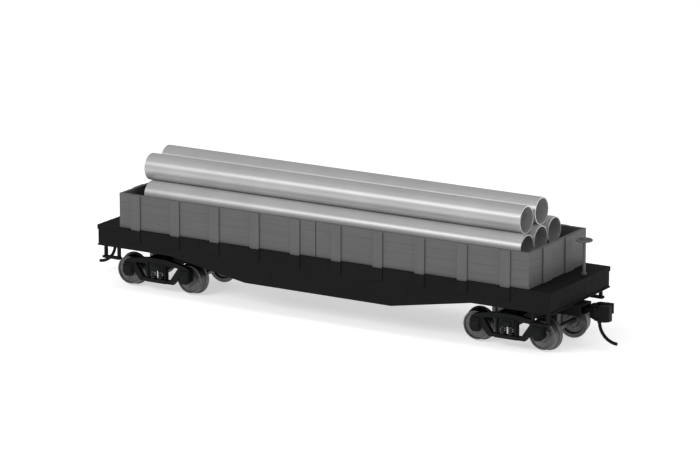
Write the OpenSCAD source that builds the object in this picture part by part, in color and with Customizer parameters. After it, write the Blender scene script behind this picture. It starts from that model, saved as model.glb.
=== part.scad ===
// Model flat car of about 1:64 scale on 22.45 mm gauge track, with a stake-sided box on the
// deck and a load of pipes. One unit is one millimetre.
// +X is the brake-wheel end, +Y the far side, +Z up. z = 0 is the bottom of the wheel flanges.

/* [Car body] */
// Length of the deck
deck_l = 223.2; // [180:0.1:260]
// Width of the deck
deck_w = 51.6; // [45:0.1:60]
// Height of the deck's top
deck_top = 28.65; // [24:0.05:34]
// Thickness of the deck
deck_t = 2.0; // [1:0.1:4]
// How far the deck and the foot of the end sill stand out past the end face
end_lip = 0.5; // [0:0.1:1.5]
// Thickness of the end sills
end_sill_t = 2.0; // [1:0.1:4]
// Depth of the side sill at the ends, from the deck's top
sill_end_depth = 9.1; // [6:0.1:14]
// Depth of the side sill in the middle, from the deck's top
sill_mid_depth = 15.8; // [10:0.1:20]
// Distance from the centre at which the deep part ends
belly_in = 36; // [20:1:60]
// Distance from the centre at which the slope ends
belly_out = 74.3; // [50:0.1:100]
// Thickness of the side sill's web
sill_t = 1.4; // [0.8:0.1:3]
// Width of the side sill's foot flange
sill_flange_w = 2.6; // [1:0.1:5]
// Thickness of the side sill's foot flange
sill_flange_t = 0.8; // [0.4:0.1:2]

/* [Box] */
// Length of the box over its boards
box_l = 201; // [150:0.5:215]
// Width of the box over its boards
box_w = 49.4; // [40:0.1:50]
// Height of the boards
board_h = 15.25; // [8:0.05:25]
// Thickness of the boards
board_t = 1.4; // [0.8:0.1:3]
// Number of boards, one above the other
board_count = 4; // [2:1:6]
// Width of the groove between two boards
groove_w = 0.3; // [0.2:0.05:1]
// Depth of the groove between two boards
groove_d = 0.1; // [0.1:0.05:0.6]
// Gap between the two halves of a side
half_gap = 0.4; // [0:0.05:1]
// Number of stakes on each side
stake_count = 10; // [4:2:14]
// Distance between stakes
stake_pitch = 20.19; // [12:0.01:30]
// How far the row of stakes is off the middle of the car
stake_shift = -1.2; // [-4:0.1:4]
// Width of a stake
stake_w = 4.7; // [2:0.1:8]
// Thickness of a stake
stake_t = 0.6; // [0.3:0.05:1.5]
// Distance of the end stakes from the middle of the end
end_stake_y = 9.6; // [5:0.1:20]
// Width of an end stake
end_stake_w = 7.4; // [3:0.1:10]
// How far the foot of a side stake reaches below the deck's top
foot_drop = 0.5; // [0:0.05:1.5]

/* [Stake pockets] */
// Width of a pocket
pocket_w = 5.7; // [4:0.1:9]
// Height of a pocket
pocket_h = 5.2; // [3:0.1:8.5]
// How far a pocket stands out from the sill
pocket_t = 0.4; // [0.2:0.05:1]

/* [Pipes] */
// Length of a pipe
pipe_l = 185; // [120:0.5:195]
// Outside diameter of a pipe
pipe_d = 11.75; // [6:0.05:16]
// Wall of a pipe
pipe_wall = 0.5; // [0.3:0.05:2]
// Distance between the centres of two touching pipes
pipe_pitch = 11.79; // [6:0.01:17]
// Height of the middle lower pipe's centre
pipe_z = 43.27; // [36:0.01:50]
// Lean of the stack: the far side lies higher
pipe_lean = 6.7; // [0:0.1:12]
// How far the two upper pipes are set back, near and far
upper_back = [2.9, 2.2];

/* [Load cradles] */
// Distance between cradles
cradle_pitch = 62; // [30:1:80]
// Thickness of a cradle
cradle_t = 3.2; // [1:0.1:6]
// Drop of the cradle's top below the pipe centres
cradle_drop = 2.2; // [1:0.1:5]

/* [Trucks] */
// Distance of a truck's centre from the middle of the car
truck_x = 86.5; // [60:0.1:100]
// Distance between the two axles of a truck
axle_base = 31.0; // [24:0.1:40]
// Radius of the wheel flange
flange_r = 7.25; // [5:0.05:9]
// Radius of the wheel tread
tread_r = 6.35; // [4:0.05:8]
// Distance from the middle to the back of a wheel
wheel_back = 10.55; // [10:0.05:12]
// Width of a wheel
wheel_w = 5.0; // [2:0.1:6]
// Distance from the middle to the inner face of the side frame
frame_y = 15.85; // [14:0.05:17]
// Thickness of the side frame
frame_t = 2.0; // [1:0.1:4]
// Top of the truck's centre plate
plate_top = 15.5; // [13:0.05:18]

/* [Couplers] */
// Distance of the coupler's pivot from the middle of the car
coupler_x = 101.5; // [95:0.1:110]
// Height of the middle of the shank
coupler_z = 16.5; // [12:0.1:20]
// Outer end of the draft box
draft_end = 113.9; // [110:0.1:118]
// Radius of the curve of the trip pin
trip_r = 8.5; // [4:0.1:12]

/* [Brake wheel] */
// Distance of the brake staff from the middle of the car
brake_x = 108.5; // [100:0.1:111]
// Distance of the brake staff from the centre line
brake_y = 8.2; // [0:0.1:22]
// Height of the brake wheel
brake_z = 43.3; // [32:0.1:50]
// Diameter of the brake wheel
brake_d = 7.0; // [4:0.1:10]

/* [Hidden] */
$fn = 48;
black = [0.10, 0.10, 0.11];
grey = [0.38, 0.38, 0.39];
silver = [0.72, 0.72, 0.73];
steel = [0.55, 0.55, 0.57];
dark_metal = [0.16, 0.17, 0.17];
brass_tone = [0.70, 0.55, 0.25];
wood_tone = [0.55, 0.42, 0.28];
deck_under = deck_top - deck_t;
end_face = deck_l / 2 - end_lip;
sill_l = 2 * (end_face - end_sill_t);
sill_low = deck_top - sill_end_depth;
belly_low = deck_top - sill_mid_depth;
side_in = deck_w / 2 - sill_t;
board_top = deck_top + board_h;
stakes_x = [for (i = [0:stake_count - 1]) (i - (stake_count - 1) / 2) * stake_pitch + stake_shift];
axle_z = flange_r;
web_y = 3.6;
web_t = 1.0;
centre_low = 16.8;
bolster_half = 5.7;
bolster_low = 16.4;
bolster_flat = 14.5;
draft_back = 97;
draft_half = 4.8;
draft_wall = 1.0;
draft_low = 14.3;
draft_top = 18.9;
draft_lid_t = 0.8;
post_r = 1.2;
screw_r = 0.6;
king_r = 1.2;
king_gap = 0.08;
plate_r = 4.3;
plank_top = 5.8;
knuckle_x = 120.2;
knuckle_y = -2.9;
trip_x = 121.0;
trip_y = -1.3;
ear_low = 14.05;
ear_top = 19.2;
ear_t = 0.7;
knuckle_low = 13.35;
step_x = [106.2, 104.3];
bearer_xs = [-50, -20, 20, 50];
cosl = cos(pipe_lean);
sinl = sin(pipe_lean);
rise = pipe_pitch * sqrt(3) / 2;

// Place a copy at the right end and a copy turned half round at the left end.
module both_ends() {
    children();
    rotate([0, 0, 180]) children();
}

// Box between two opposite corners.
module block(low, high) {
    translate(low) cube(high - low);
}

// Flat outline in X and Z, from y0 to y1.
module slab(y0, y1) {
    translate([0, y1, 0]) rotate([90, 0, 0]) linear_extrude(y1 - y0) children();
}

// Flat outline in Y and Z, from x0 to x1.
module cross_slab(x0, x1) {
    translate([x0, 0, 0]) rotate([90, 0, 90]) linear_extrude(x1 - x0) children();
}

// Round bar along Z.
module bar_z(x, y, z0, z1, r) {
    translate([x, y, z0]) cylinder(h = z1 - z0, r = r);
}

// Round bar along Y.
module bar_y(x, z, y0, y1, r) {
    translate([x, y1, z]) rotate([90, 0, 0]) cylinder(h = y1 - y0, r = r);
}

// Round bar along X.
module bar_x(y, z, x0, x1, r) {
    translate([x0, y, z]) rotate([0, 90, 0]) cylinder(h = x1 - x0, r = r);
}

// ---- car body ----

module deck() {
    notch_w = stake_w + 0.1;
    color(black) difference() {
        block([-deck_l / 2, -deck_w / 2, deck_under], [deck_l / 2, deck_w / 2, deck_top]);
        for (x = stakes_x) {
            block([x - notch_w / 2, -deck_w / 2 - 1, deck_top - foot_drop],
                [x + notch_w / 2, -box_w / 2, deck_top + 1]);
            block([x - notch_w / 2, box_w / 2, deck_top - foot_drop],
                [x + notch_w / 2, deck_w / 2 + 1, deck_top + 1]);
        }
        bar_z(brake_x, brake_y, deck_under - 1, deck_top + 1, 0.72);
    }
}

// Fish-belly outline: shallow at the ends, deep in the middle.
module sill_outline() {
    polygon([[-sill_l / 2, deck_under], [sill_l / 2, deck_under], [sill_l / 2, sill_low],
        [belly_out, sill_low], [belly_in, belly_low], [-belly_in, belly_low],
        [-belly_out, sill_low], [-sill_l / 2, sill_low]]);
}

module side_sill() {
    color(black) {
        slab(-deck_w / 2, -side_in) sill_outline();
        slab(-side_in - 0.01, -side_in + sill_flange_w) difference() {
            sill_outline();
            translate([0, sill_flange_t]) sill_outline();
        }
    }
}

module side_sill_near() {
    side_sill();
}

module side_sill_far() {
    mirror([0, 1, 0]) side_sill();
}

module end_sill() {
    color(black) {
        block([end_face - end_sill_t, -deck_w / 2, sill_low], [end_face, deck_w / 2, deck_under]);
        block([end_face - end_sill_t, -deck_w / 2, sill_low],
            [end_face + end_lip, deck_w / 2, sill_low + 0.6]);
    }
}

module end_sill_right() {
    end_sill();
}

module end_sill_left() {
    rotate([0, 0, 180]) end_sill();
}

module centre_sill() {
    web_end = truck_x - bolster_half;
    color(black) {
        difference() {
            block([-web_end, -web_y - web_t, centre_low], [web_end, web_y + web_t, deck_under]);
            block([-web_end - 1, -web_y, centre_low - 1], [web_end + 1, web_y, deck_under - web_t]);
        }
        both_ends() difference() {
            block([truck_x + bolster_half, -web_y - web_t, draft_top],
                [end_face - end_sill_t, web_y + web_t, deck_under]);
            block([truck_x + bolster_half - 1, -web_y, draft_top - 1],
                [end_face - end_sill_t + 1, web_y, deck_under - web_t]);
        }
    }
}

module cross_bearers() {
    y0 = web_y + web_t;
    color(black) for (x = bearer_xs) for (m = [0, 1]) mirror([0, m, 0]) {
        cross_slab(x - 0.6, x + 0.6)
            polygon([[y0, deck_under], [side_in, deck_under], [side_in, 19.2], [y0, 17.4]]);
    }
}

// Deep slab across each truck; its arms step over the foot flanges of the side sills.
module body_bolsters() {
    flange_in = side_in - sill_flange_w - 0.1;
    flange_top = sill_low + sill_flange_t + 0.1;
    color(black) both_ends() difference() {
        union() {
            cross_slab(truck_x - bolster_half, truck_x + bolster_half)
                polygon([[-side_in, deck_under], [side_in, deck_under], [side_in, flange_top],
                    [flange_in, flange_top], [bolster_flat, bolster_low],
                    [-bolster_flat, bolster_low], [-flange_in, flange_top],
                    [-side_in, flange_top]]);
            bar_z(truck_x, 0, plate_top + 0.05, bolster_low + 0.2, plate_r);
        }
        bar_z(truck_x, 0, plate_top - 1, 24, king_r + 0.02);
    }
}

module stake_pockets() {
    top = deck_top - foot_drop;
    color(black) for (x = stakes_x) for (m = [0, 1]) mirror([0, m, 0]) {
        block([x - pocket_w / 2, -deck_w / 2 - pocket_t, top - pocket_h],
            [x + pocket_w / 2, -deck_w / 2, top]);
    }
}

// Four U-shaped steps that hang from the corners, alike at opposite corners.
module stirrup_steps() {
    leg = 1.2;
    deep = 1.3;
    half = 4.0;
    low = 14.4;
    y_out = -deck_w / 2 + 0.2;
    color(black) both_ends() for (i = [0, 1]) mirror([i, 0, 0]) {
        for (s = [-1, 1]) {
            block([step_x[i] + s * (half - leg / 2) - leg / 2, y_out, low + 0.5],
                [step_x[i] + s * (half - leg / 2) + leg / 2, y_out + deep, sill_low]);
        }
        block([step_x[i] - half - 0.4, y_out - 0.9, low],
            [step_x[i] + half + 0.4, y_out + deep, low + 1.0]);
    }
}

module ballast_weight() {
    color(steel) block([-58, -web_y + 0.05, 19.0], [58, web_y - 0.05, deck_under - web_t]);
}

module brake_cylinder() {
    y = -14;
    z = 21.6;
    color(black) {
        bar_x(y, z, -42, -30, 3.1);
        bar_x(y, z, -31, -29.6, 3.6);
        bar_x(y, z, -29.6, -23, 0.7);
        for (x = [-40, -34]) block([x, y - 2, z], [x + 1.2, y + 2, deck_under]);
    }
}

module brake_reservoir() {
    y = 14;
    z = 21.6;
    color(black) {
        bar_x(y, z, 26, 44, 3.2);
        bar_x(y, z, 34.6, 35.4, 3.5);
        for (x = [29, 40]) block([x, y - 2, z], [x + 1.2, y + 2, deck_under]);
    }
}

// Brake lever at the cylinder and the two rods that run towards the trucks.
module brake_rods() {
    y = -12;
    z = 15.6;
    color(dark_metal) {
        block([-23, -15, 15], [-22.2, -11.4, 22.4]);
        bar_x(y, z, -60, 60, 0.45);
        for (x = [-60, 59]) block([x, y - 0.8, z - 1.2], [x + 1, y + 0.8, z + 1.2]);
    }
}

// ---- draft gear ----

module draft_boxes() {
    color(black) both_ends() difference() {
        block([draft_back, -draft_half, draft_low + draft_lid_t], [draft_end, draft_half, draft_top]);
        difference() {
            block([draft_back + draft_wall, -draft_half + draft_wall, draft_low],
                [draft_end + 1, draft_half - draft_wall, draft_top - draft_lid_t]);
            bar_z(coupler_x, 0, draft_low - 1, draft_top, post_r);
        }
        bar_z(coupler_x, 0, draft_low - 1, draft_top + 1, screw_r + 0.02);
    }
}

module draft_covers() {
    color(black) both_ends() difference() {
        block([draft_back, -draft_half, draft_low], [draft_end, draft_half, draft_low + draft_lid_t]);
        bar_z(coupler_x, 0, draft_low - 1, draft_low + 2, screw_r + 0.02);
    }
}

module draft_screws() {
    color(steel) both_ends() difference() {
        union() {
            bar_z(coupler_x, 0, draft_low - 0.01, draft_top - 0.05, screw_r);
            bar_z(coupler_x, 0, draft_low - 0.7, draft_low, 1.15);
        }
        block([coupler_x - 2, -0.15, draft_low - 1], [coupler_x + 2, 0.15, draft_low - 0.4]);
    }
}

// Flat ring spring round the pivot post, under the eye of the shank.
module centring_springs() {
    z0 = draft_low + draft_lid_t + 0.02;
    color(brass_tone) both_ends() difference() {
        bar_z(coupler_x, 0, z0, z0 + 0.4, 2.3);
        bar_z(coupler_x, 0, z0 - 1, z0 + 1, post_r + 0.05);
    }
}

module kingpin_screws() {
    color(steel) both_ends() difference() {
        union() {
            bar_z(truck_x, 0, 9.39, 23.5, king_r);
            bar_z(truck_x, 0, 8.2, 9.4, 2.3);
        }
        block([truck_x - 3, -0.25, 8], [truck_x + 3, 0.25, 8.7]);
    }
}

// ---- box ----

// Cross-section of a wall of boards: depth in x, height in y, grooves on the side at x = 0.
module board_section() {
    step = board_h / board_count;
    difference() {
        square([board_t, board_h]);
        for (i = [1:board_count - 1]) {
            polygon([[-0.01, i * step - groove_w / 2], [groove_d, i * step],
                [-0.01, i * step + groove_w / 2]]);
        }
    }
}

module side_boards(x0, x1) {
    color(grey) translate([x0, -box_w / 2, deck_top]) rotate([90, 0, 90])
        linear_extrude(x1 - x0) board_section();
}

module boards_near_left() {
    side_boards(-box_l / 2, -half_gap / 2 + stake_shift);
}

module boards_near_right() {
    side_boards(half_gap / 2 + stake_shift, box_l / 2);
}

module boards_far_left() {
    mirror([0, 1, 0]) side_boards(-box_l / 2, -half_gap / 2 + stake_shift);
}

module boards_far_right() {
    mirror([0, 1, 0]) side_boards(half_gap / 2 + stake_shift, box_l / 2);
}

module end_boards() {
    y = box_w / 2 - board_t - 0.02;
    color(grey) translate([box_l / 2, y, deck_top]) rotate([90, 0, 0])
        linear_extrude(2 * y) mirror([1, 0, 0]) board_section();
}

module end_boards_right() {
    end_boards();
}

module end_boards_left() {
    rotate([0, 0, 180]) end_boards();
}

// All the stakes: ten on each side, two on each end.
module stakes() {
    color(grey) {
        for (x = stakes_x) for (m = [0, 1]) mirror([0, m, 0]) {
            block([x - stake_w / 2, -box_w / 2 - stake_t, deck_top - foot_drop],
                [x + stake_w / 2, -box_w / 2, board_top]);
        }
        for (y = [-end_stake_y, end_stake_y]) both_ends() {
            block([box_l / 2, y - end_stake_w / 2, deck_top],
                [box_l / 2 + stake_t, y + end_stake_w / 2, board_top]);
        }
    }
}

// ---- load ----

// Centre of each pipe in Y and Z: three below, two nested on top, the whole stack leaning.
function lean_point(a, b) = [a * cosl - b * sinl, pipe_z + a * sinl + b * cosl];
pipe_at = [lean_point(-pipe_pitch, 0), lean_point(0, 0), lean_point(pipe_pitch, 0),
    lean_point(-pipe_pitch / 2, rise), lean_point(pipe_pitch / 2, rise)];
pipe_back = [0, 0, 0, upper_back[0], upper_back[1]];

module pipe(i) {
    x0 = -pipe_l / 2 - pipe_back[i];
    color(silver) difference() {
        bar_x(pipe_at[i][0], pipe_at[i][1], x0, x0 + pipe_l, pipe_d / 2);
        bar_x(pipe_at[i][0], pipe_at[i][1], x0 - 1, x0 + pipe_l + 1, pipe_d / 2 - pipe_wall);
    }
}

// Boards across the box with a seat for each lower pipe.
module load_cradles() {
    y = box_w / 2 - board_t - 0.1;
    tilt = tan(pipe_lean);
    top = pipe_z - cradle_drop;
    color(wood_tone) for (i = [-1:1]) {
        cross_slab(i * cradle_pitch - cradle_t / 2, i * cradle_pitch + cradle_t / 2) difference() {
            polygon([[-y, deck_top], [y, deck_top], [y, top + y * tilt], [-y, top - y * tilt]]);
            for (k = [0:2]) translate(pipe_at[k]) circle(r = pipe_d / 2 + 0.03);
        }
    }
}

// ---- brake wheel ----

module brake_staff() {
    color(grey) {
        bar_z(brake_x, brake_y, deck_under, brake_z - 0.7, 0.65);
        bar_z(brake_x, brake_y, deck_top + 0.05, deck_top + 0.9, 1.1);
    }
}

module brake_wheel() {
    rim = 0.45;
    color(grey) translate([brake_x, brake_y, brake_z]) {
        rotate_extrude() translate([brake_d / 2 - rim, 0]) circle(r = rim, $fn = 16);
        translate([0, 0, -0.7]) cylinder(h = 1.3, r = 0.95);
        for (a = [0:72:288]) rotate([0, 0, a]) translate([0.5, -0.3, -0.35])
            cube([brake_d / 2 - rim - 0.5, 0.6, 0.6]);
    }
}

// ---- trucks ----

// Side frame in X and Z: arched top, slanted struts down to a spring plank, windows beside the springs.
module frame_outline() {
    difference() {
        for (s = [-1, 1]) scale([s, 1]) polygon([[-0.01, 14.9], [4.5, 14.8], [8.5, 14.3],
            [12.2, 13.6], [15.4, 12.8], [16.7, 11.8], [17.1, 10.6], [17.1, 7.0], [15.9, 5.4],
            [13.4, 5.4], [12.0, 8.2], [8.6, 4.2], [-0.01, 4.2]]);
        polygon([[-4.0, plank_top], [4.0, plank_top], [4.0, 12.7], [-4.0, 12.7]]);
        for (s = [-1, 1]) scale([s, 1]) polygon([[5.1, 5.8], [5.1, 12.3], [11.1, 11.9], [6.9, 5.8]]);
    }
}

module side_frame() {
    face = -frame_y - frame_t;
    color(dark_metal) translate([truck_x, 0, 0]) difference() {
        union() {
            slab(face, -frame_y) frame_outline();
            for (s = [-1, 1]) {
                slab(face - 0.5, face + 0.1) scale([s, 1]) polygon([[12.4, 6.6], [13.4, 5.4],
                    [15.9, 5.4], [17.1, 6.8], [17.1, 10.4], [16.3, 11.2], [12.4, 11.2]]);
                slab(face - 0.8, face - 0.4) scale([s, 1]) polygon([[13.0, 6.9], [13.8, 6.1],
                    [15.6, 6.1], [16.5, 7.2], [16.5, 10.1], [13.0, 10.1]]);
                block([s * 4.55 - 0.35, face - 0.3, plank_top], [s * 4.55 + 0.35, face + 0.1, 12.4]);
            }
            block([-5.2, face - 0.5, 4.2], [5.2, -frame_y, plank_top]);
        }
        for (s = [-1, 1]) bar_y(s * axle_base / 2, axle_z, -frame_y - 1.9, -frame_y + 1, 0.87);
    }
}

module side_frame_near_right() {
    side_frame();
}

module side_frame_near_left() {
    mirror([1, 0, 0]) side_frame();
}

module side_frame_far_right() {
    mirror([0, 1, 0]) side_frame();
}

module side_frame_far_left() {
    rotate([0, 0, 180]) side_frame();
}

module truck_bolster() {
    y_end = frame_y + frame_t;
    plate_y = 13.5;
    color(dark_metal) translate([truck_x, 0, 0]) difference() {
        union() {
            block([-3.6, -y_end, 9.5], [3.6, y_end, 12.6]);
            block([-2.0, -y_end - 0.5, 9.7], [2.0, y_end + 0.5, 11.6]);
            block([-bolster_half, -plate_y, 12.5], [bolster_half, plate_y, 14.4]);
            bar_z(0, 0, 13.5, plate_top, plate_r);
        }
        bar_z(0, 0, 9, 16, king_r + king_gap);
    }
}

module truck_bolster_right() {
    truck_bolster();
}

module truck_bolster_left() {
    rotate([0, 0, 180]) truck_bolster();
}

// Ribbed body of revolution that stands for a short coil spring.
module spring_body() {
    coils = 5;
    high = 9.5 - plank_top;
    pitch = high / coils;
    rotate_extrude($fn = 32) polygon(concat([[0, 0]],
        [for (i = [0:coils - 1]) for (k = [0:3])
            [1.5 - (k == 0 || k == 3 ? 0.28 : 0), pitch * (i + [0, 0.3, 0.7, 1][k])]],
        [[0, high]]));
}

module truck_springs() {
    color(dark_metal) translate([truck_x, 0, 0]) for (x = [-1.9, 1.9]) for (s = [-1, 1])
        translate([x, s * (frame_y + frame_t / 2), plank_top]) spring_body();
}

module truck_springs_right() {
    truck_springs();
}

module truck_springs_left() {
    rotate([0, 0, 180]) truck_springs();
}

// Half section of a wheel: radius, then distance from its back.
wheel_section = [[1.02, 0.4], [2.6, 0.4], [3.0, 1.0], [5.0, 1.0], [5.5, 0], [flange_r - 0.25, 0],
    [flange_r, 0.35], [flange_r - 0.1, 0.75], [tread_r + 0.12, 1.1], [tread_r, 1.3],
    [tread_r - 0.15, wheel_w - 0.2], [tread_r - 0.35, wheel_w], [5.5, wheel_w], [5.3, wheel_w - 0.5],
    [2.9, wheel_w - 0.8], [2.5, wheel_w - 0.3], [1.02, wheel_w - 0.3]];

module wheels(x) {
    color(steel) for (s = [-1, 1]) translate([x, s * wheel_back, axle_z]) rotate([-90 * s, 0, 0])
        rotate_extrude($fn = 64) polygon(wheel_section);
}

module axle(x) {
    out = wheel_back + 0.4;
    color(dark_metal) {
        bar_y(x, axle_z, -out, out, 1.2);
        bar_y(x, axle_z, -wheel_back - wheel_w, wheel_back + wheel_w, 1.0);
        bar_y(x, axle_z, -frame_y - 1.7, frame_y + 1.7, 0.8);
    }
}

// ---- couplers ----

module coupler_head() {
    low = coupler_z - 0.95;
    high = coupler_z + 0.95;
    color(black) difference() {
        union() {
            bar_z(coupler_x, 0, low, high, 2.5);
            block([coupler_x, -1.3, low], [117.5, 1.3, high]);
            translate([0, 0, ear_low]) linear_extrude(ear_top - ear_low)
                polygon([[116.4, 1.6], [118.0, 3.8], [119.4, 4.3], [120.4, 1.7], [118.2, 0.4],
                    [118.0, -1.0], [118.4, -3.2], [117.4, -2.9], [116.4, -1.6]]);
            translate([0, 0, 15.2]) linear_extrude(4.2)
                polygon([[117.6, 3.2], [118.6, 4.3], [121.5, 4.7], [124.3, 5.0], [124.8, 4.0],
                    [121.8, 2.8], [120.2, 1.5]]);
            bar_z(119.6, 1.8, ear_top - 0.1, 19.9, 0.8);
            for (z = [ear_low, ear_top - ear_t]) translate([0, 0, z]) linear_extrude(ear_t) {
                translate([knuckle_x, knuckle_y]) circle(r = 1.7);
                polygon([[117.6, -3.0], [knuckle_x, -4.6], [knuckle_x, -1.2], [117.6, -1.2]]);
            }
        }
        bar_z(coupler_x, 0, low - 1, high + 1, post_r + 0.06);
        bar_z(knuckle_x, knuckle_y, 12, 21, screw_r + 0.02);
    }
}

module coupler_head_right() {
    coupler_head();
}

module coupler_head_left() {
    rotate([0, 0, 180]) coupler_head();
}

module knuckle_pin() {
    color(black) {
        bar_z(knuckle_x, knuckle_y, ear_low, ear_top + 0.1, screw_r);
        bar_z(knuckle_x, knuckle_y, ear_top + 0.01, ear_top + 0.5, 1.0);
    }
}

module knuckle_pin_right() {
    knuckle_pin();
}

module knuckle_pin_left() {
    rotate([0, 0, 180]) knuckle_pin();
}

module knuckle() {
    color(black) {
        difference() {
            translate([0, 0, ear_low + ear_t + 0.05])
                linear_extrude(ear_top - ear_low - 2 * ear_t - 0.1) {
                    translate([knuckle_x, knuckle_y]) circle(r = 1.6);
                    polygon([[knuckle_x, -1.3], [122.6, -1.9], [122.6, -4.4], [knuckle_x, -4.5]]);
                }
            bar_z(knuckle_x, knuckle_y, 14, 20, screw_r + 0.06);
        }
        translate([0, 0, knuckle_low]) linear_extrude(6.6)
            polygon([[122.1, -4.7], [125.0, -4.5], [126.3, -3.0], [126.4, -0.6], [125.6, 0.4],
                [124.4, 0.3], [123.9, -1.2], [122.1, -1.8]]);
        translate([0, 0, knuckle_low]) linear_extrude(ear_low - knuckle_low - 0.08)
            polygon([[119.6, -0.3], [122.6, -0.5], [122.6, -4.5], [119.6, -3.6]]);
    }
}

module knuckle_right() {
    knuckle();
}

module knuckle_left() {
    rotate([0, 0, 180]) knuckle();
}

// Curved steel pin that hangs under the knuckle and sweeps outwards.
module trip_pin() {
    color(black) {
        bar_z(trip_x, trip_y, 12.1, knuckle_low, 0.95);
        translate([trip_x + trip_r, trip_y, 12.6]) rotate([90, 0, 0]) rotate([0, 0, 180])
            rotate_extrude(angle = 88) translate([trip_r, 0]) circle(r = 0.7, $fn = 24);
    }
}

module trip_pin_right() {
    trip_pin();
}

module trip_pin_left() {
    rotate([0, 0, 180]) trip_pin();
}

deck();
centre_sill();
side_sill_near();
side_sill_far();
end_sill_left();
end_sill_right();
cross_bearers();
body_bolsters();
stake_pockets();
stirrup_steps();
ballast_weight();
brake_cylinder();
brake_reservoir();
brake_rods();
draft_boxes();
draft_covers();
draft_screws();
centring_springs();
kingpin_screws();
boards_near_left();
boards_near_right();
boards_far_left();
boards_far_right();
end_boards_left();
end_boards_right();
stakes();
load_cradles();
pipe(0);  // pipe_lower_near
pipe(1);  // pipe_lower_middle
pipe(2);  // pipe_lower_far
pipe(3);  // pipe_upper_near
pipe(4);  // pipe_upper_far
brake_staff();
brake_wheel();
truck_bolster_left();
truck_bolster_right();
side_frame_near_left();
side_frame_near_right();
side_frame_far_left();
side_frame_far_right();
truck_springs_left();
truck_springs_right();
axle(-truck_x - axle_base / 2);  // axle_1
wheels(-truck_x - axle_base / 2);  // wheels_1
axle(-truck_x + axle_base / 2);  // axle_2
wheels(-truck_x + axle_base / 2);  // wheels_2
axle(truck_x - axle_base / 2);  // axle_3
wheels(truck_x - axle_base / 2);  // wheels_3
axle(truck_x + axle_base / 2);  // axle_4
wheels(truck_x + axle_base / 2);  // wheels_4
coupler_head_left();
coupler_head_right();
knuckle_pin_left();
knuckle_pin_right();
knuckle_left();
knuckle_right();
trip_pin_left();
trip_pin_right();
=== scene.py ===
"""Model flat car with a stake-sided box and a pipe load: looks, light and camera."""
import math

import bpy
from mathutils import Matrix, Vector


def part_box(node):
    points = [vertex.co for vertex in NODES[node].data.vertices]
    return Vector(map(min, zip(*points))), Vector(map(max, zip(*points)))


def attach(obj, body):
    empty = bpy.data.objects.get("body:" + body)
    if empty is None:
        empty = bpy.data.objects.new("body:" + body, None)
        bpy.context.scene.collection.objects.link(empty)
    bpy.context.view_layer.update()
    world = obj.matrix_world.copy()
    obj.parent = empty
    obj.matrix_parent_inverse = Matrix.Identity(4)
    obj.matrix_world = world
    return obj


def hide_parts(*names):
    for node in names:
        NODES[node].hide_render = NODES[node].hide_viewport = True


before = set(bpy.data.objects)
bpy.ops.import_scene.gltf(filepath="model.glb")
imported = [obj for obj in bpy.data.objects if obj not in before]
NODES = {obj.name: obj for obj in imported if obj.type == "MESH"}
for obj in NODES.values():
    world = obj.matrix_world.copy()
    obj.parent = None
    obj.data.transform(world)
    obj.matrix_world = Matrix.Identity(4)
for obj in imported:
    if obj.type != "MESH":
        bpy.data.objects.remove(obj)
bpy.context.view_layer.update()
MM = 0.001

# ---- camera: the viewing point that matches the photograph's perspective ----
AZIMUTH = math.radians(31.158)
ELEVATION = math.radians(14.245)
DISTANCE = 1725.89 * MM
TARGET = Vector((0.626, 0.0, 34.142)) * MM
LENS = 209.378

back = Vector((
    math.sin(AZIMUTH) * math.cos(ELEVATION),
    -math.cos(AZIMUTH) * math.cos(ELEVATION),
    math.sin(ELEVATION),
))
camera_data = bpy.data.cameras.new("camera")
camera_data.lens = LENS
camera_data.sensor_width = 36.0
camera_data.clip_start = 0.05
camera_data.clip_end = 50.0
camera = bpy.data.objects.new("camera", camera_data)
bpy.context.scene.collection.objects.link(camera)
camera.location = TARGET + back * DISTANCE
camera.rotation_mode = "QUATERNION"
camera.rotation_quaternion = (-back).to_track_quat("-Z", "Y")
bpy.context.scene.camera = camera


# ---- node materials ----

# Noise scales count repeats per metre, and reliefs and radii are in metres.
FINE_GRAIN = 2600.0
POLISHED_RELIEF = 0.000006
BOARD_RELIEF = 0.00003
WOOD_RELIEF = 0.00006
# Pointiness where an edge starts to be painted lighter, as wear and painted sheen, and where it is
# fully so
EDGE_RANGE = (0.505, 0.56)
# How squarely a face has to look along X to count as a cut end
END_LIMIT = 0.9

BLACK = (0.0070, 0.0070, 0.0075)
GREY = (0.094, 0.094, 0.096)
TRUCK = (0.0036, 0.0042, 0.0044)
COUPLER = (0.0026, 0.0026, 0.0028)
WHEEL = (0.112, 0.110, 0.112)
SPRING = (0.006, 0.007, 0.007)
PIPE = (0.48, 0.475, 0.48)
# Painted highlight: the paler colour given to the pipes' cut ends, standing in for the light they
# reflect.
PIPE_END_HIGHLIGHT = (0.66, 0.63, 0.63)


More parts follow.
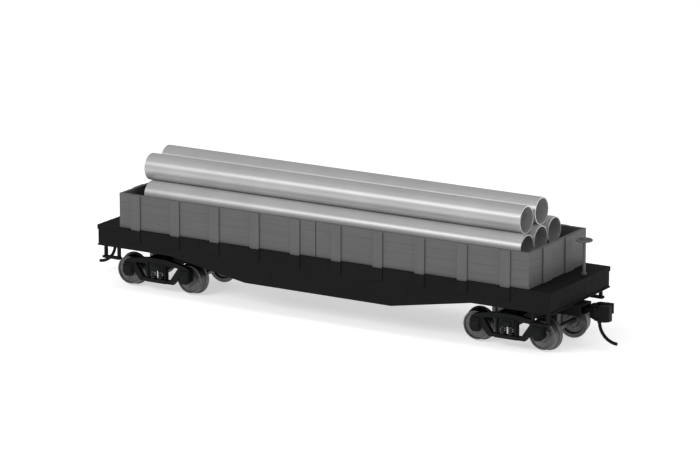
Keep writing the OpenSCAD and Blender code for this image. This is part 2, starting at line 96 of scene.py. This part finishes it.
class Tree:
    """Small helper that wires a material's nodes."""

    def __init__(self, name):
        self.material = bpy.data.materials.new(name)
        self.material.use_nodes = True
        self.nodes = self.material.node_tree.nodes
        self.links = self.material.node_tree.links
        self.shader = self.nodes["Principled BSDF"]
        place = self.nodes.new("ShaderNodeTexCoord")
        self.coords = place.outputs["Object"]
        self.facing = place.outputs["Normal"]

    def link(self, source, target):
        self.links.new(source, target)

    def value(self, node, name, what):
        """Link a socket to an input, or set the input to a plain value."""
        socket = node.inputs[name]
        if isinstance(what, bpy.types.NodeSocket):
            self.link(what, socket)
        else:
            socket.default_value = what

    def stretched(self, scale):
        node = self.nodes.new("ShaderNodeMapping")
        node.inputs["Scale"].default_value = scale
        self.link(self.coords, node.inputs["Vector"])
        return node.outputs["Vector"]

    def noise(self, scale, detail=3.0, rough=0.55, vector=None):
        node = self.nodes.new("ShaderNodeTexNoise")
        node.inputs["Scale"].default_value = scale
        node.inputs["Detail"].default_value = detail
        node.inputs["Roughness"].default_value = rough
        self.link(vector or self.coords, node.inputs["Vector"])
        return node.outputs["Fac"]

    def ramp(self, fac, low, high, at=(0.3, 0.7)):
        """Map a factor between two grey levels or two colours."""
        node = self.nodes.new("ShaderNodeValToRGB")
        for element, place, what in zip(node.color_ramp.elements, at, (low, high)):
            element.position = place
            element.color = (*what, 1.0) if isinstance(what, tuple) else (what, what, what, 1.0)
        self.link(fac, node.inputs["Fac"])
        return node.outputs["Color"]

    def math(self, kind, a, b=0.0):
        node = self.nodes.new("ShaderNodeMath")
        node.operation = kind
        for i, what in enumerate((a, b)):
            self.value(node, i, what)
        return node.outputs[0]

    def mix(self, fac, a, b, blend="MIX"):
        node = self.nodes.new("ShaderNodeMixRGB")
        node.blend_type = blend
        self.value(node, "Fac", fac)
        for name, what in (("Color1", a), ("Color2", b)):
            if isinstance(what, tuple):
                what = (*what, 1.0)
            self.value(node, name, what)
        return node.outputs["Color"]

    def edges(self):
        """1 on sharp outer edges, 0 elsewhere."""
        geometry = self.nodes.new("ShaderNodeNewGeometry")
        return self.ramp(geometry.outputs["Pointiness"], 0.0, 1.0, EDGE_RANGE)

    def end_faces(self):
        """1 on faces that look along X, 0 elsewhere."""
        split = self.nodes.new("ShaderNodeSeparateXYZ")
        self.link(self.facing, split.inputs["Vector"])
        return self.math("GREATER_THAN", self.math("ABSOLUTE", split.outputs["X"]), END_LIMIT)

    def bump(self, height, distance, strength, normal=None):
        node = self.nodes.new("ShaderNodeBump")
        node.inputs["Distance"].default_value = distance
        node.inputs["Strength"].default_value = strength
        self.link(height, node.inputs["Height"])
        if normal is not None:
            self.link(normal, node.inputs["Normal"])
        return node.outputs["Normal"]

    def soft_edges(self, radius):
        node = self.nodes.new("ShaderNodeBevel")
        node.samples = 6
        node.inputs["Radius"].default_value = radius
        return node.outputs["Normal"]

    def finish(self, colour, roughness, metallic=0.0, normal=None, specular=0.5):
        self.value(self.shader, "Base Color", colour)
        self.value(self.shader, "Roughness", roughness)
        self.value(self.shader, "Metallic", metallic)
        self.value(self.shader, "Specular IOR Level", specular)
        if normal is not None:
            self.link(normal, self.shader.inputs["Normal"])
        return self.material


def moulded(name, colour, rough, grain=0.00001, vary=0.12, edge=0.35, radius=0.00016, specular=0.5):
    """Matt moulded plastic: fine grain, faint colour drift, sharp edges painted lighter as wear and
    painted sheen.
    """
    t = Tree(name)
    drift = t.noise(scale=90.0, detail=4.0)
    light = tuple(c * (1 + vary) for c in colour)
    dark = tuple(c * (1 - vary) for c in colour)
    base = t.ramp(drift, dark, light)
    # Sharp edges are painted lighter: partly wear, partly a painted sheen in place of edge highlights.
    wear_and_sheen = tuple(min(1.0, c * 1.6 + 0.002) for c in colour)
    base = t.mix(t.math("MULTIPLY", t.edges(), edge), base, wear_and_sheen)
    fine = t.noise(scale=FINE_GRAIN, detail=2.0)
    roughness = t.ramp(t.noise(scale=300.0, detail=3.0), low=rough - 0.06, high=rough + 0.08)
    normal = t.bump(fine, distance=grain, strength=0.6, normal=t.soft_edges(radius))
    return t.finish(base, roughness, normal=normal, specular=specular)


def grained(name, colour, stretch, rough=0.55, radius=0.00014):
    """Grey moulded boards with a faint grain along the board."""
    t = Tree(name)
    grain = t.noise(scale=900.0, detail=5.0, rough=0.65, vector=t.stretched(stretch))
    drift = t.noise(scale=45.0, detail=3.0)
    base = t.ramp(drift, tuple(c * 0.95 for c in colour), tuple(c * 1.05 for c in colour))
    base = t.mix(0.22, base, t.ramp(grain, low=0.35, high=0.75), "SOFT_LIGHT")
    # Sharp edges are painted lighter: partly wear, partly a painted sheen in place of edge highlights.
    wear_and_sheen = tuple(min(1.0, c * 1.35) for c in colour)
    base = t.mix(t.math("MULTIPLY", t.edges(), 0.25), base, wear_and_sheen)
    fine = t.noise(scale=FINE_GRAIN, detail=2.0)
    height = t.math("ADD", grain, t.math("MULTIPLY", fine, 0.4))
    roughness = t.ramp(grain, low=rough + 0.06, high=rough - 0.05)
    normal = t.bump(height, distance=BOARD_RELIEF, strength=0.5, normal=t.soft_edges(radius))
    return t.finish(base, roughness, normal=normal, specular=0.25)


def silver_paint(name, colour, rough, metallic):
    """Satin silver tube: faint draw lines along X, soft cloudiness, and cut ends painted paler as a
    painted highlight.
    """
    t = Tree(name)
    lines = t.noise(scale=700.0, detail=4.0, rough=0.6, vector=t.stretched((0.012, 1.0, 1.0)))
    cloud = t.noise(scale=60.0, detail=3.0)
    base = t.ramp(cloud, tuple(c * 0.94 for c in colour), tuple(min(1.0, c * 1.05) for c in colour))
    # The cut ends are painted paler than the tube: a painted highlight for the light they reflect.
    base = t.mix(t.end_faces(), base, PIPE_END_HIGHLIGHT)
    roughness = t.ramp(lines, low=rough - 0.05, high=rough + 0.06)
    fine = t.noise(scale=1800.0)
    height = t.math("ADD", t.math("MULTIPLY", lines, 0.7), t.math("MULTIPLY", fine, 0.3))
    normal = t.bump(height, distance=POLISHED_RELIEF, strength=0.5)
    return t.finish(base, roughness, metallic, normal)


def turned(name, colour, centre, rough=0.34, metallic=0.9, pitch=0.00035, radius=0.00012):
    """Turned metal: fine rings about the axle."""
    t = Tree(name)
    split = t.nodes.new("ShaderNodeSeparateXYZ")
    t.link(t.coords, split.inputs["Vector"])
    dx = t.math("SUBTRACT", split.outputs["X"], centre[0])
    dz = t.math("SUBTRACT", split.outputs["Z"], centre[1])
    out = t.math("SQRT", t.math("ADD", t.math("MULTIPLY", dx, dx), t.math("MULTIPLY", dz, dz)))
    wobble = t.math("MULTIPLY", t.noise(scale=240.0), 1.2)
    rings = t.math("SINE", t.math("ADD", t.math("MULTIPLY", out, 2 * math.pi / pitch), wobble))
    stain = t.noise(scale=420.0, detail=4.0)
    base = t.ramp(stain, tuple(c * 0.78 for c in colour), tuple(min(1.0, c * 1.12) for c in colour))
    roughness = t.ramp(stain, low=rough + 0.12, high=rough - 0.04)
    height = t.math("MULTIPLY", rings, 0.5)
    normal = t.bump(height, distance=POLISHED_RELIEF, strength=0.5, normal=t.soft_edges(radius))
    return t.finish(base, roughness, metallic, normal)


def plain_metal(name, colour, rough=0.35, radius=0.0001):
    """Drawn or stamped metal with fine scratches."""
    t = Tree(name)
    scratch = t.noise(scale=1500.0, detail=4.0, rough=0.7, vector=t.stretched((0.2, 1.0, 1.0)))
    cloud = t.noise(scale=200.0)
    base = t.ramp(cloud, tuple(c * 0.85 for c in colour), tuple(min(1.0, c * 1.1) for c in colour))
    roughness = t.ramp(scratch, low=rough - 0.06, high=rough + 0.1)
    normal = t.bump(scratch, distance=POLISHED_RELIEF, strength=0.5, normal=t.soft_edges(radius))
    return t.finish(base, roughness, metallic=1.0, normal=normal)


def sawn_wood(name, light, dark):
    """Sawn softwood: streaks along Y, darker late wood, rough cut face."""
    t = Tree(name)
    along = t.stretched((1.0, 0.06, 1.0))
    grain = t.noise(scale=1100.0, detail=6.0, rough=0.6, vector=along)
    base = t.ramp(grain, dark, light, at=(0.35, 0.65))
    bands = t.noise(scale=180.0, detail=3.0, rough=0.5, vector=along)
    base = t.mix(0.35, base, t.ramp(bands, low=0.3, high=0.8), "SOFT_LIGHT")
    normal = t.bump(grain, distance=WOOD_RELIEF, strength=0.6)
    return t.finish(base, roughness=0.75, normal=normal)


body_black = moulded("body_black", BLACK, rough=0.66, specular=0.06)
box_side = grained("box_grey_sides", GREY, (0.035, 1.0, 1.0))
box_end = grained("box_grey_ends", GREY, (1.0, 0.035, 1.0))
box_post = grained("box_grey_posts", GREY, (1.0, 1.0, 0.05))
pipe_silver = silver_paint("pipe_silver", PIPE, rough=0.33, metallic=0.3)
truck_dark = moulded("truck_dark", TRUCK, rough=0.5, grain=0.000014, vary=0.2, edge=0.5, specular=0.11)
coupler_black = moulded("coupler_black", COUPLER, rough=0.42, vary=0.15, edge=0.4, specular=0.09)
spring_dark = moulded("spring_dark", SPRING, rough=0.5, grain=0.000006, vary=0.15, edge=0.5)
screw_steel = plain_metal("screw_steel", (0.42, 0.42, 0.43))
weight_steel = plain_metal("weight_steel", (0.28, 0.27, 0.26), rough=0.5)
axle_steel = plain_metal("axle_steel", (0.16, 0.16, 0.165), rough=0.4)
spring_brass = plain_metal("spring_brass", (0.62, 0.45, 0.2))
cradle_wood = sawn_wood("cradle_wood", light=(0.42, 0.30, 0.18), dark=(0.26, 0.17, 0.09))


def named(*starts):
    """The nodes whose names start with any of these words."""
    return [n for n in NODES if n.startswith(starts)]


FINISH = {
    body_black: [
        "deck", "centre_sill", "side_sill_near", "side_sill_far", "end_sill_left",
        "end_sill_right", "cross_bearers", "body_bolsters", "stake_pockets", "stirrup_steps",
        "brake_cylinder", "brake_reservoir", "draft_boxes", "draft_covers",
    ],
    box_side: ["boards_near_left", "boards_near_right", "boards_far_left", "boards_far_right"],
    box_end: ["end_boards_left", "end_boards_right"],
    box_post: ["stakes", "brake_staff", "brake_wheel"],
    pipe_silver: named("pipe_"),
    truck_dark: named("truck_bolster", "side_frame", "truck_springs", "brake_rods"),
    coupler_black: named("coupler_head", "knuckle", "trip_pin"),
    screw_steel: ["draft_screws", "kingpin_screws"],
    weight_steel: ["ballast_weight"],
    axle_steel: named("axle_"),
    spring_brass: ["centring_springs"],
    cradle_wood: ["load_cradles"],
}


def paint(obj, material):
    """Give an object this one material."""
    obj.data.materials.clear()
    obj.data.materials.append(material)


for material, names in FINISH.items():
    for name in names:
        paint(NODES[name], material)
for name in named("wheels_"):
    low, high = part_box(name)
    middle = (low + high) / 2
    paint(NODES[name], turned("wheel_metal_" + name[-1], WHEEL, (middle.x, middle.z)))


# ---- wound truck springs in place of the ribbed solids ----

SPRING_RADIUS = 1.5 * MM
SPRING_WIRE = 0.3 * MM
SPRING_TURNS = 5
SIDES = 10           # faces around the wire
STEPS_PER_TURN = 20
FLAT_TURNS = 0.6     # turns that lie flat at each end of a spring


def link(obj):
    bpy.context.scene.collection.objects.link(obj)
    return obj


def coil_mesh(name, centres, z0, z1, radius, wire, turns):
    """Wound springs: one tube swept along a helix for each centre."""
    verts, faces = [], []
    steps = STEPS_PER_TURN * turns
    for cx, cy in centres:
        first = len(verts)
        for i in range(steps + 1):
            f = i / steps
            angle = 2 * math.pi * turns * f
            rise = min(1.0, max(0.0, (f * turns - FLAT_TURNS) / (turns - 2 * FLAT_TURNS)))
            centre = Vector((cx + radius * math.cos(angle), cy + radius * math.sin(angle),
                             z0 + wire + (z1 - z0 - 2 * wire) * rise))
            out = Vector((math.cos(angle), math.sin(angle), 0))
            for k in range(SIDES):
                a = 2 * math.pi * k / SIDES
                verts.append(centre + out * (wire * math.cos(a)) + Vector((0, 0, wire * math.sin(a))))
        for i in range(steps):
            for k in range(SIDES):
                a = first + i * SIDES + k
                b = first + i * SIDES + (k + 1) % SIDES
                faces.append((a, b, b + SIDES, a + SIDES))
        faces.append(tuple(first + k for k in reversed(range(SIDES))))
        faces.append(tuple(first + steps * SIDES + k for k in range(SIDES)))
    mesh = bpy.data.meshes.new(name)
    mesh.from_pydata([tuple(v) for v in verts], [], faces)
    mesh.polygons.foreach_set("use_smooth", [True] * len(mesh.polygons))
    return link(bpy.data.objects.new(name, mesh))


for end in ("left", "right"):
    node = "truck_springs_" + end
    low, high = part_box(node)
    centres = [(x, y) for x in (low.x + SPRING_RADIUS, high.x - SPRING_RADIUS)
               for y in (low.y + SPRING_RADIUS, high.y - SPRING_RADIUS)]
    coils = coil_mesh("coil_springs_" + end, centres, low.z, high.z,
                      SPRING_RADIUS - SPRING_WIRE, SPRING_WIRE, SPRING_TURNS)
    paint(coils, spring_dark)
    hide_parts(node)
    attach(coils, "truck_" + end)


# ---- floor, world and light ----

# A faint glow keeps the paper white while the light stays low on the car.
FLOOR_GLOW = 0.55
FLOOR_HALF = 6
WORLD_STRENGTH = 0.40
WHITE = (1.0, 1.0, 1.0, 1.0)
AIM = Vector((0, 0, 0.03))  # where every light looks
floor_mesh = bpy.data.meshes.new("floor")
floor_mesh.from_pydata(
    [(x * FLOOR_HALF, y * FLOOR_HALF, 0) for x, y in ((-1, -1), (1, -1), (1, 1), (-1, 1))],
    [], [(0, 1, 2, 3)])
floor = link(bpy.data.objects.new("floor", floor_mesh))
floor_tree = Tree("floor_paper")
floor_tree.value(floor_tree.shader, "Emission Color", WHITE)
floor_tree.value(floor_tree.shader, "Emission Strength", FLOOR_GLOW)
paper = floor_tree.ramp(floor_tree.noise(scale=3.0), low=0.86, high=0.9)
paint(floor, floor_tree.finish(paper, roughness=0.9))

world = bpy.data.worlds.new("studio")
bpy.context.scene.world = world
world.use_nodes = True
background = world.node_tree.nodes["Background"]
background.inputs["Color"].default_value = WHITE
background.inputs["Strength"].default_value = WORLD_STRENGTH


def area_light(name, azimuth, elevation, distance, size, power):
    """Soft light that looks at the car; azimuth 0 is in front of the near side."""
    a, e = math.radians(azimuth), math.radians(elevation)
    data = bpy.data.lights.new(name, "AREA")
    data.shape = "RECTANGLE"
    data.size, data.size_y = size
    data.energy = power
    light = link(bpy.data.objects.new(name, data))
    towards = Vector((math.sin(a) * math.cos(e), -math.cos(a) * math.cos(e), math.sin(e)))
    light.location = towards * distance + AIM
    light.rotation_mode = "QUATERNION"
    light.rotation_quaternion = (-towards).to_track_quat("-Z", "Y")


area_light("key", azimuth=-20, elevation=33, distance=1.3, size=(0.8, 0.4), power=6.4)
area_light("fill", azimuth=85, elevation=20, distance=1.5, size=(0.8, 0.6), power=5.0)
area_light("top", azimuth=0, elevation=75, distance=1.2, size=(1.0, 0.3), power=1.6)
bpy.context.scene.view_settings.view_transform = "Standard"
